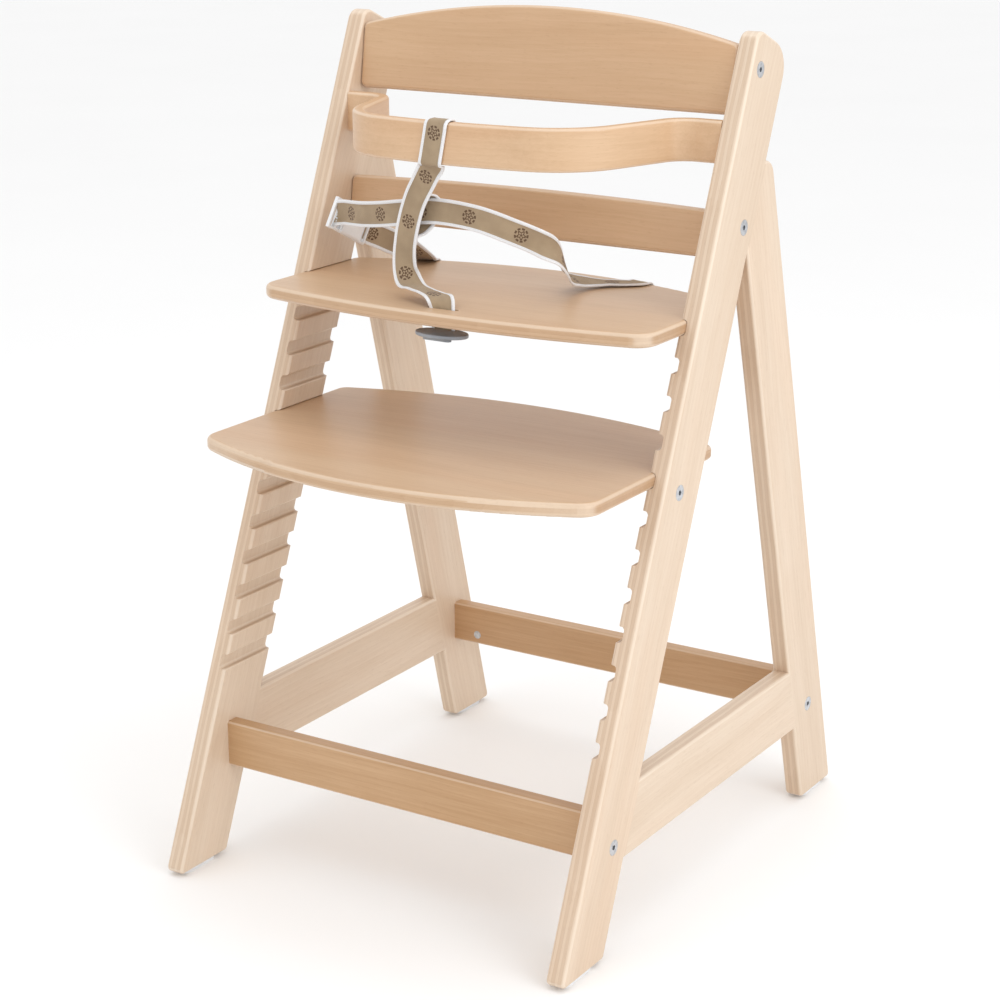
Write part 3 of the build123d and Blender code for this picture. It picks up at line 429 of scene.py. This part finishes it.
def bent_wood(name):
    material, tree, surface = empty_material(name)
    source = tree.nodes.new("ShaderNodeTexCoord")
    from_centre = add(tree, "ShaderNodeVectorMath", {0: source.outputs["Object"], 1: BEND_CENTRE},
                      operation="SUBTRACT").outputs[0]
    parts = add(tree, "ShaderNodeSeparateXYZ", {0: from_centre})
    forward = math_node(tree, "MULTIPLY", parts.outputs["Y"], -1.0)
    angle = math_node(tree, "ARCTAN2", parts.outputs["X"], forward)
    length = math_node(tree, "MULTIPLY", angle, BEND_RADIUS)
    flat = scaled(tree, from_centre, (1, 1, 0))
    radius = add(tree, "ShaderNodeVectorMath", {0: flat}, operation="LENGTH").outputs["Value"]
    place = add(tree, "ShaderNodeCombineXYZ", {"X": length, "Y": radius, "Z": parts.outputs["Z"]}).outputs[0]
    normal = add(tree, "ShaderNodeSeparateXYZ", {0: source.outputs["Normal"]})
    level = scaled(tree, source.outputs["Normal"], (1, 1, 0))
    outward = add(tree, "ShaderNodeVectorMath", {0: level}, operation="LENGTH").outputs["Value"]
    facing = add(tree, "ShaderNodeCombineXYZ", {"X": 0.0, "Y": outward, "Z": normal.outputs["Z"]}).outputs[0]
    # The bar's two wood colours are darkened by painted shade, as the bar faces forward, away from the
    # brightest light.
    wood_from(tree, surface, place, facing, (0.68, 0.465, 0.29), (0.54, 0.34, 0.19), 0.8, 0.25, 0.0026, 0.4)
    return material


wood_of["safety_bar"] = bent_wood("bar_shaded_bentwood")
for dowel in ("cross_rail_dowels", "slat_dowels", "safety_bar_pins", "rear_leg_dowels", "side_rail_dowels"):
    wood_of[dowel] = wood_of["front_cross_rail"]


def dress(node, material):
    piece = nodes[node]
    piece.data.materials.clear()
    piece.data.materials.append(material)


for node, material in wood_of.items():
    dress(node, material)
print("dressed", len(wood_of), "wooden nodes")

# %% [markdown]
# ## Fittings
# Bolts, sleeve nuts and screws are zinc plated steel: grey, a little blue, with fine turning marks and
# small stains. The glides and the buckle are white nylon, and the plate under the seat is grey nylon.
# Moulded plastic is never quite even: it has a fine grain from the mould, and it picks up a slight shine
# where it is rubbed.

# %% Metal and plastic
def zinc_steel():
    material, tree, surface = empty_material("zinc_plated_steel")
    place = tree.nodes.new("ShaderNodeTexCoord").outputs["Object"]
    stain = add(tree, "ShaderNodeTexNoise", {"Vector": place, "Scale": 260, "Detail": 3}).outputs[0]
    marks = add(tree, "ShaderNodeTexNoise", {"Vector": scaled(tree, place, (300, 2400, 2400)), "Scale": 1,
                                             "Detail": 2}).outputs[0]
    colour = mix_colour(tree, between(tree, stain, 0.35, 0.7), (0.62, 0.63, 0.65, 1), (0.44, 0.45, 0.47, 1))
    rough = math_node(tree, "MULTIPLY_ADD", marks, 0.25, 0.2)
    bump = add(tree, "ShaderNodeBump", {"Strength": 0.25, "Distance": 0.0001, "Height": marks})
    tree.links.new(colour, surface.inputs["Base Color"])
    tree.links.new(rough, surface.inputs["Roughness"])
    tree.links.new(bump.outputs[0], surface.inputs["Normal"])
    surface.inputs["Metallic"].default_value = 1.0
    return material


def nylon(name, plain, rubbed, grain=900):
    material, tree, surface = empty_material(name)
    place = tree.nodes.new("ShaderNodeTexCoord").outputs["Object"]
    cloud = add(tree, "ShaderNodeTexNoise", {"Vector": place, "Scale": 45, "Detail": 3}).outputs[0]
    pebble = add(tree, "ShaderNodeTexNoise", {"Vector": place, "Scale": grain, "Detail": 2}).outputs[0]
    colour = mix_colour(tree, between(tree, cloud, 0.3, 0.7), (*plain, 1), (*rubbed, 1))
    rough = math_node(tree, "MULTIPLY_ADD", cloud, 0.25, 0.25)
    bump = add(tree, "ShaderNodeBump", {"Strength": 0.2, "Distance": 0.0002, "Height": pebble})
    tree.links.new(colour, surface.inputs["Base Color"])
    tree.links.new(rough, surface.inputs["Roughness"])
    tree.links.new(bump.outputs[0], surface.inputs["Normal"])
    surface.inputs["Subsurface Weight"].default_value = 0.04
    surface.inputs["Subsurface Radius"].default_value = (0.002, 0.002, 0.002)
    return material


steel = zinc_steel()
white_nylon = nylon("white_nylon", (0.84, 0.85, 0.86), (0.76, 0.77, 0.79))
grey_nylon = nylon("grey_nylon", (0.22, 0.235, 0.26), (0.31, 0.325, 0.35))
for node in ("clamp_rod", "clamp_sleeve_nuts", "rail_bolts", "rail_barrel_nuts", "slat_bolts",
             "slat_barrel_nuts", "belt_washers", "belt_screws"):
    dress(node, steel)
for node in ("front_left_glide", "front_right_glide", "rear_left_glide", "rear_right_glide", "buckle_socket",
             "buckle_plug"):
    dress(node, white_nylon)
dress("strap_retainer", grey_nylon)


def floor_paper():
    material, tree, surface = empty_material("floor_paper")
    place = tree.nodes.new("ShaderNodeTexCoord").outputs["Object"]
    cloud = add(tree, "ShaderNodeTexNoise", {"Vector": place, "Scale": 1.5, "Detail": 2}).outputs[0]
    colour = mix_colour(tree, cloud, (0.93, 0.93, 0.93, 1), (0.955, 0.955, 0.955, 1))
    tree.links.new(colour, surface.inputs["Base Color"])
    surface.inputs["Roughness"].default_value = 0.85
    surface.inputs["Specular IOR Level"].default_value = 0.1
    return material


floor.data.materials.append(floor_paper())
print("fittings dressed")

# %% [markdown]
# ## Webbing
# The harness is woven webbing, tan with a white tape bound over both edges, and a round brown motif
# printed every few centimetres. The pattern has to follow the strap through every bend and twist, so it
# reads a UV map that holds real lengths: U is the distance along the strap and V the distance from its
# middle line, both in metres. The weave is a product of two waves, the tape is everything beyond a width,
# and the motif is drawn from its distance and angle. The motif here is a plain ring of dashes round a
# five-petalled flower.

# %% Webbing material
HALF_WEBBING = 0.014
TAPE_WIDTH = 0.0036
MOTIF_PITCH = 0.058


def ring(tree, distance, radius, half_line, soft=0.00035):
    gap = math_node(tree, "ABSOLUTE", math_node(tree, "SUBTRACT", distance, radius))
    return between(tree, gap, half_line + soft, half_line - soft)


def webbing(name="woven_webbing"):
    material, tree, surface = empty_material(name)
    uv = add(tree, "ShaderNodeUVMap", uv_map="webbing_uv").outputs[0]
    parts = add(tree, "ShaderNodeSeparateXYZ", {0: uv})
    along, across = parts.outputs["X"], parts.outputs["Y"]
    rib = math_node(tree, "SINE", math_node(tree, "MULTIPLY", across, 2 * math.pi / 0.0013))
    pick = math_node(tree, "SINE", math_node(tree, "MULTIPLY", along, 2 * math.pi / 0.0011))
    weave = math_node(tree, "MULTIPLY", rib, pick)
    fuzz = add(tree, "ShaderNodeTexNoise", {"Vector": uv, "Scale": 900, "Detail": 3}).outputs[0]
    fade = add(tree, "ShaderNodeTexNoise", {"Vector": uv, "Scale": 38, "Detail": 3}).outputs[0]
    from_middle = math_node(tree, "ABSOLUTE", across)
    tape_edge = HALF_WEBBING - TAPE_WIDTH
    tape = between(tree, from_middle, tape_edge - 0.0001, tape_edge + 0.0001)
    cell = math_node(tree, "WRAP", along, MOTIF_PITCH / 2, -MOTIF_PITCH / 2)
    square = math_node(tree, "ADD", math_node(tree, "POWER", cell, 2),
                       math_node(tree, "POWER", from_middle, 2))
    distance = math_node(tree, "SQRT", square)
    angle = math_node(tree, "ARCTAN2", across, cell)
    dashes = between(tree, math_node(tree, "SINE", math_node(tree, "MULTIPLY", angle, 9)), -0.75, -0.35)
    outer = math_node(tree, "MULTIPLY", ring(tree, distance, 0.0066, 0.0011), dashes)
    petal = math_node(tree, "MULTIPLY_ADD", math_node(tree, "COSINE", math_node(tree, "MULTIPLY", angle, 5)),
                      0.0011, 0.0034)
    flower = ring(tree, distance, petal, 0.0009)
    heart = between(tree, distance, 0.0015, 0.001)
    motif = math_node(tree, "MAXIMUM", math_node(tree, "MAXIMUM", outer, flower), heart)
    motif = math_node(tree, "MULTIPLY", motif, between(tree, fuzz, 0.2, 0.5, 0.55, 0.95))
    tan = mix_colour(tree, between(tree, fade, 0.3, 0.7), (0.46, 0.345, 0.225, 1), (0.385, 0.285, 0.185, 1))
    # The low parts of the weave are painted darker: painted shade in the weave's hollows.
    tan = mix_colour(tree, between(tree, weave, -1, 1), darkened(tree, tan, (0.8, 0.8, 0.8, 1)), tan)
    printed = mix_colour(tree, motif, tan, (0.11, 0.062, 0.038, 1))
    thread_gap = math_node(tree, "PINGPONG", along, 0.0014)
    stitch = math_node(tree, "MULTIPLY", ring(tree, from_middle, tape_edge + 0.0008, 0.0003, 0.0001),
                       between(tree, thread_gap, 0.0003, 0.0005))
    white = mix_colour(tree, between(tree, fuzz, 0.3, 0.7), (0.86, 0.86, 0.87, 1), (0.78, 0.78, 0.80, 1))
    bound = mix_colour(tree, tape, printed, white)
    stitched = mix_colour(tree, math_node(tree, "MULTIPLY", stitch, 0.35), bound, (0.62, 0.6, 0.58, 1))
    relief = math_node(tree, "MULTIPLY_ADD", fuzz, 0.5, weave)
    relief = math_node(tree, "MULTIPLY_ADD", stitch, -2.0, relief)
    bump = add(tree, "ShaderNodeBump", {"Strength": 0.5, "Distance": 0.00025, "Height": relief})
    tree.links.new(stitched, surface.inputs["Base Color"])
    tree.links.new(bump.outputs[0], surface.inputs["Normal"])
    surface.inputs["Roughness"].default_value = 0.88
    surface.inputs["Sheen Weight"].default_value = 0.15
    surface.inputs["Specular IOR Level"].default_value = 0.15
    return material


woven = webbing()
print("webbing", len(woven.node_tree.nodes), "nodes")

# %% [markdown]
# ## A strap along a path
# A strap is one cross-section carried along its path. The section is thin in the middle and thicker at
# both edges, where the tape is folded over. A curve with a bevel could carry it, but would not let the
# strap turn on to its edge where the real one does. So each strap starts as one ring of points, and the
# ring is extruded again and again, each time moved on to the next station, which has its own place and
# its own direction of width. The stations are a smooth curve through a few given points.

# %% Strap helpers
CHAIR_MIDDLE_Y = -0.31535
GLIDE_HEIGHT = 0.004
WEB_HALF_THICKNESS = 0.0007
TAPE_HALF_THICKNESS = 0.0011


def at(x, y, z):
    """A point drawn in millimetres from the uprights' front feet, moved into the chair's own frame."""
    return Vector((x / 1000, y / 1000 + CHAIR_MIDDLE_Y, z / 1000 + GLIDE_HEIGHT))


def smooth_through(values, share):
    """Point between the middle two of four vectors, on a smooth curve through them."""
    before, start, end, after = values
    a = 2 * start
    b = end - before
    c = 2 * before - 5 * start + 4 * end - after
    d = 3 * start - before - 3 * end + after
    return (a + b * share + c * share ** 2 + d * share ** 3) / 2


def smooth_stations(points, widths, step=0.0035):
    """Places and width directions along a smooth curve through the given ones."""
    stations = []
    last = len(points) - 1
    for index in range(last):
        around = [max(0, index - 1), index, index + 1, min(last, index + 2)]
        count = max(1, round((points[index + 1] - points[index]).length / step))
        for part in range(count):
            place = smooth_through([points[i] for i in around], part / count)
            wide = widths[index].lerp(widths[index + 1], part / count)
            stations.append((place, wide))
    stations.append((points[last], widths[last]))
    return stations


def station_matrices(stations):
    matrices = []
    for index, (place, wide) in enumerate(stations):
        ahead = stations[min(index + 1, len(stations) - 1)][0]
        behind = stations[max(index - 1, 0)][0]
        run = (ahead - behind).normalized()
        wide = (wide - run * wide.dot(run)).normalized()
        thick = run.cross(wide)
        turned = Matrix((wide, thick, run)).transposed().to_4x4()
        matrices.append(Matrix.Translation(place) @ turned)
    return matrices


def webbing_ring(half_width):
    """The section's whole outline: across one face from edge to edge, then back across the other."""
    tape = half_width - TAPE_WIDTH
    face = [(-half_width, 0), (-half_width + 0.0003, 0.0008), (-half_width + 0.0012, TAPE_HALF_THICKNESS),
            (-tape - 0.0003, TAPE_HALF_THICKNESS), (-tape, WEB_HALF_THICKNESS)]
    for part in range(1, 6):
        face.append((-tape + part * tape / 3, WEB_HALF_THICKNESS))
    face += [(tape, WEB_HALF_THICKNESS), (tape + 0.0003, TAPE_HALF_THICKNESS),
             (half_width - 0.0012, TAPE_HALF_THICKNESS), (half_width - 0.0003, 0.0008), (half_width, 0)]
    back = [(x, -y) for x, y in reversed(face[1:-1])]
    return face + back


def strap(name, stations, half_width=HALF_WEBBING, start=0.0):
    """Webbing along stations, with its lengths in a UV map. start sets where the motifs fall."""
    matrices = station_matrices(stations)
    shape = bmesh.new()
    uv_layer = shape.loops.layers.uv.new("webbing_uv")
    ring_verts = [shape.verts.new(matrices[0] @ Vector((x, y, 0))) for x, y in webbing_ring(half_width)]
    edges = [shape.edges.new((v, ring_verts[(i + 1) % len(ring_verts)])) for i, v in enumerate(ring_verts)]
    first_edges = list(edges)
    measured = {v: (start, x) for v, (x, y) in zip(ring_verts, webbing_ring(half_width))}
    distance = start
    for before, after in zip(matrices, matrices[1:]):
        distance += (after.translation - before.translation).length
        grown = bmesh.ops.extrude_edge_only(shape, edges=edges)["geom"]
        verts = [g for g in grown if isinstance(g, bmesh.types.BMVert)]
        edges = [g for g in grown if isinstance(g, bmesh.types.BMEdge) and all(v in verts for v in g.verts)]
        back = before.inverted()
        for v in verts:
            measured[v] = (distance, (back @ v.co).x)
        bmesh.ops.transform(shape, matrix=after @ back, verts=verts)
    bmesh.ops.contextual_create(shape, geom=first_edges)
    bmesh.ops.contextual_create(shape, geom=edges)
    for face in shape.faces:
        face.smooth = len(face.verts) == 4
        for loop in face.loops:
            loop[uv_layer].uv = measured[loop.vert]
    bmesh.ops.recalc_face_normals(shape, faces=shape.faces)
    mesh = bpy.data.meshes.new(name)
    shape.to_mesh(mesh)
    shape.free()
    mesh.materials.append(woven)
    print(name, "length", round(distance - start, 3), "m,", len(mesh.polygons), "faces")
    return new_object(name, mesh)


X_WAY = Vector((1, 0, 0))
Z_WAY = Vector((0, 0, 1))
print("strap helpers ready")

# %% [markdown]
# ## Crotch strap
# This strap is sewn round the front of the safety bar and hangs between the child's legs, then goes down
# through the slot in the seat, where the grey plate keeps it. It is one piece of webbing: up the back of
# the bar, over the top, down the front, under, and then down to the seat in a lazy curve. It hangs from
# the frame at its top and from the seat at its foot.

# %% Crotch strap
BAR_MIDDLE_Y, BAR_MIDDLE_Z = 197.85, 797.0
SLEEVE_HALF_DEPTH = 8.3
SLEEVE_HALF_HEIGHT = 23.8


def sleeve_point(y, z):
    """The strap lies a little askew on the bar, further right at the top than at the bottom."""
    return (-16 + 0.2 * (z - BAR_MIDDLE_Z), y, z)


def round_the_bar():
    """Points round the bar from the back's lower edge, over the top and down the front to the underside."""
    y, z = BAR_MIDDLE_Y, BAR_MIDDLE_Z
    points = [sleeve_point(y + SLEEVE_HALF_DEPTH, z + height) for height in (-18, -4, 12)]
    bend = 5.0
    for centre_y, centre_z, first in ((y + SLEEVE_HALF_DEPTH - bend, z + SLEEVE_HALF_HEIGHT - bend, 0),
                                      (y - SLEEVE_HALF_DEPTH + bend, z + SLEEVE_HALF_HEIGHT - bend, 90),
                                      (y - SLEEVE_HALF_DEPTH + bend, z - SLEEVE_HALF_HEIGHT + bend, 180)):
        for angle in (first, first + 30, first + 60, first + 90):
            points.append(sleeve_point(centre_y + bend * math.cos(math.radians(angle)),
                                       centre_z + bend * math.sin(math.radians(angle))))
        if first == 90:
            points += [sleeve_point(y - SLEEVE_HALF_DEPTH, z + 8), sleeve_point(y - SLEEVE_HALF_DEPTH, z - 8)]
    return points


HANGING = [(-25, 198.6, 770.5), (-38, 203.5, 753), (-51, 207, 733), (-61, 209.5, 708), (-67.5, 212, 684),
           (-69.5, 213.5, 664), (-66, 212.5, 651), (-56, 208.5, 643.5), (-40, 201.5, 641.5),
           (-24, 194.5, 640.8), (-12, 188.7, 639.5), (-4.5, 184.8, 636), (-1.2, 182.6, 630), (0, 182, 622),
           (0, 182, 607)]
crotch_points = [at(*p) for p in round_the_bar() + HANGING]
bar_slope = Vector((1, -0.027, 0)).normalized()
FOOT_WAY = Vector((0.86, 0.5, -0.1)).normalized()
crotch_widths = [bar_slope] * len(round_the_bar()) + [X_WAY] * 5
crotch_widths += [X_WAY.lerp(FOOT_WAY, share) for share in (0.3, 0.6, 0.9, 1, 1, 0.9, 0.6, 0.3, 0, 0)]
crotch = strap("crotch_strap_webbing", smooth_stations(crotch_points, crotch_widths, 0.003), start=-0.068)
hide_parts("crotch_strap")
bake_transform(crotch)

# %% [markdown]
# ## Belt loop
# A short second layer is sewn to the back of the crotch strap at both ends and stands away from it in
# between. The waist belt runs through it, so it keeps the belt from riding up.

# %% Belt loop
LOOP = [(-49, 208.6, 742), (-48, 210.5, 740), (-45, 221, 737), (-46, 229, 727), (-52, 229.5, 712),
        (-60, 224, 700), (-65, 214.5, 694), (-66, 213.2, 690)]
belt_loop = strap("crotch_belt_loop_webbing", smooth_stations([at(*p) for p in LOOP], [X_WAY] * len(LOOP)),
                  start=0.02)
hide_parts("crotch_belt_loop")
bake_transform(belt_loop)

# %% [markdown]
# ## Waist belt
# The waist belt is two lengths of webbing. Each is screwed under the seat, comes up round its back edge
# and ends at one half of the buckle. The buckle was left lying against the left upright, so the right-
# hand length crosses the whole seat on its edge, turns over, and lies flat before it goes down behind.

# %% Waist belt, both lengths
SEAT_BACK_CENTRE_Y = 418.0 - 548.0
SEAT_BACK_RADIUS = 548.0
SEAT_TOP = 629.0
SEAT_THICK = 15.0
WRAP_RADIUS = 6.6


def belt_tail(anchor_x, anchor_y, lift):
    """Points from under the seat, round its curved back edge and on to its top, and the width direction."""
    outward = Vector((anchor_x, anchor_y - SEAT_BACK_CENTRE_Y, 0))
    tail = outward.length - SEAT_BACK_RADIUS - 12
    outward.normalize()
    lower, upper = SEAT_TOP - SEAT_THICK + 5, SEAT_TOP - 5
    profile = [(tail, lower - WRAP_RADIUS), (-20, lower - WRAP_RADIUS)]
    for angle in (-90, -60, -30, 0):
        profile.append((-5 + WRAP_RADIUS * math.cos(math.radians(angle)),
                        lower + WRAP_RADIUS * math.sin(math.radians(angle))))
    for angle in (0, 30, 60, 90):
        profile.append((-5 + WRAP_RADIUS * math.cos(math.radians(angle)),
                        upper + WRAP_RADIUS * math.sin(math.radians(angle))))
    profile.append((-18, SEAT_TOP + lift))
    points = []
    for reach, z in profile:
        out = SEAT_BACK_RADIUS + reach
        points.append(at(outward.x * out, SEAT_BACK_CENTRE_Y + outward.y * out, z))
    return points, Vector((outward.y, -outward.x, 0))


BUCKLE_MIDDLE = Vector((-186.0, 292.0, 681.0))
BUCKLE_WAY = Vector((-0.16, -0.86, 0.48)).normalized()
BUCKLE_WIDE = (Z_WAY - BUCKLE_WAY * BUCKLE_WAY.z).normalized()


def along_buckle(distance):
    return at(*(BUCKLE_MIDDLE + BUCKLE_WAY * distance))


tail_points, tail_width = belt_tail(-150.0, 362.0, 3.4)
FLIGHT = [(-149, 366, 638), (-152, 353, 645), (-158, 341, 652), (-166, 330.5, 658.5), (-174.5, 321.5, 664.5)]
left_points = tail_points + [at(*p) for p in FLIGHT] + [along_buckle(-22), along_buckle(-13)]
left_widths = [tail_width] * (len(tail_points) + 1)
for share in (0.25, 0.5, 0.75, 0.93):
    left_widths.append(tail_width.lerp(BUCKLE_WIDE, share))
left_widths += [BUCKLE_WIDE] * 2
left_belt = strap("waist_belt_left_webbing", smooth_stations(left_points, left_widths), start=0.01)
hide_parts("waist_belt_left")
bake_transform(left_belt)

CROSSING = [(-188.5, 260.5, 699.5), (-178, 257.5, 701.5), (-162, 250, 703), (-138, 238, 706),
            (-108, 228.5, 710.5), (-76, 222.5, 716), (-36, 222.5, 721), (11, 227, 717), (48, 240, 704.5),
            (73, 253, 693), (87, 266, 681), (88, 280, 666), (80, 298, 654), (73, 317, 645.5),
            (71, 336, 639.5), (76, 354, 635.5), (87, 371, 632.5)]
right_tail, right_width = belt_tail(105.0, 372.0, 2.2)
right_points = [along_buckle(28), along_buckle(34)] + [at(*p) for p in CROSSING] + list(reversed(right_tail))
right_widths = [BUCKLE_WIDE] * 2
for index in range(len(CROSSING)):
    turned = min(1.0, max(0.0, (index - 9) / 4.0))
    tilted = (0, 0, 0, 0, 0, 0, 0, 0, 0, 0, 0, 0.2, 0.45, 0.5, 0.4, 0.25, 0.05)[index]
    right_widths.append((Z_WAY * (1 - turned) + Vector((-0.35, 0.9, 0.2)) * math.sin(math.pi * turned) * 0.6
                         + Vector((-0.95, 0.3, tilted)) * turned).normalized())
right_widths += [-right_width] * len(right_tail)
right_belt = strap("waist_belt_right_webbing", smooth_stations(right_points, right_widths), start=0.02)
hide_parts("waist_belt_right")
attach(right_belt, "seat")

# %% [markdown]
# ## Ladder frame of the buckle
# The right belt's end is threaded through a small frame at the socket's end, so that its length can be
# set. Three bars with rounded edges make it: cubes that are scaled, placed along the buckle's own
# directions and bevelled.

# %% Ladder frame
def buckle_frame():
    shape = bmesh.new()
    thick = BUCKLE_WAY.cross(BUCKLE_WIDE)
    place = Matrix((BUCKLE_WIDE, thick, BUCKLE_WAY)).transposed().to_4x4()
    end_bar = ((0.035, 0.0046, 0.0030), (0, 0, 0.0418))
    side_bars = [((0.0028, 0.0046, 0.0060), (across, 0, 0.0382)) for across in (0.0161, -0.0161)]
    for size, centre in (end_bar, *side_bars):
        verts = bmesh.ops.create_cube(shape, size=1)["verts"]
        bmesh.ops.scale(shape, vec=size, verts=verts)
        bmesh.ops.translate(shape, vec=centre, verts=verts)
        bmesh.ops.transform(shape, matrix=place, verts=verts)
        bmesh.ops.translate(shape, vec=along_buckle(0), verts=verts)
    bmesh.ops.bevel(shape, geom=shape.edges[:], offset=0.0006, offset_type="OFFSET", segments=3, profile=0.5,
                    affect="EDGES", material=-1)
    bmesh.ops.recalc_face_normals(shape, faces=shape.faces)
    for face in shape.faces:
        face.smooth = True
    mesh = bpy.data.meshes.new("buckle_frame")
    shape.to_mesh(mesh)
    shape.free()
    mesh.materials.append(white_nylon)
    return new_object("buckle_frame", mesh)


frame_piece = buckle_frame()
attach(frame_piece, "seat")
print("buckle frame", len(frame_piece.data.polygons), "faces")

# %% [markdown]
# ## Finish
# The straps are checked to carry no transform of their own, so each strap's mesh holds its world place
# itself.

# %% Check the straps and finish
for piece in (crotch, belt_loop, left_belt, right_belt):
    assert piece.matrix_world == Matrix.Identity(4)
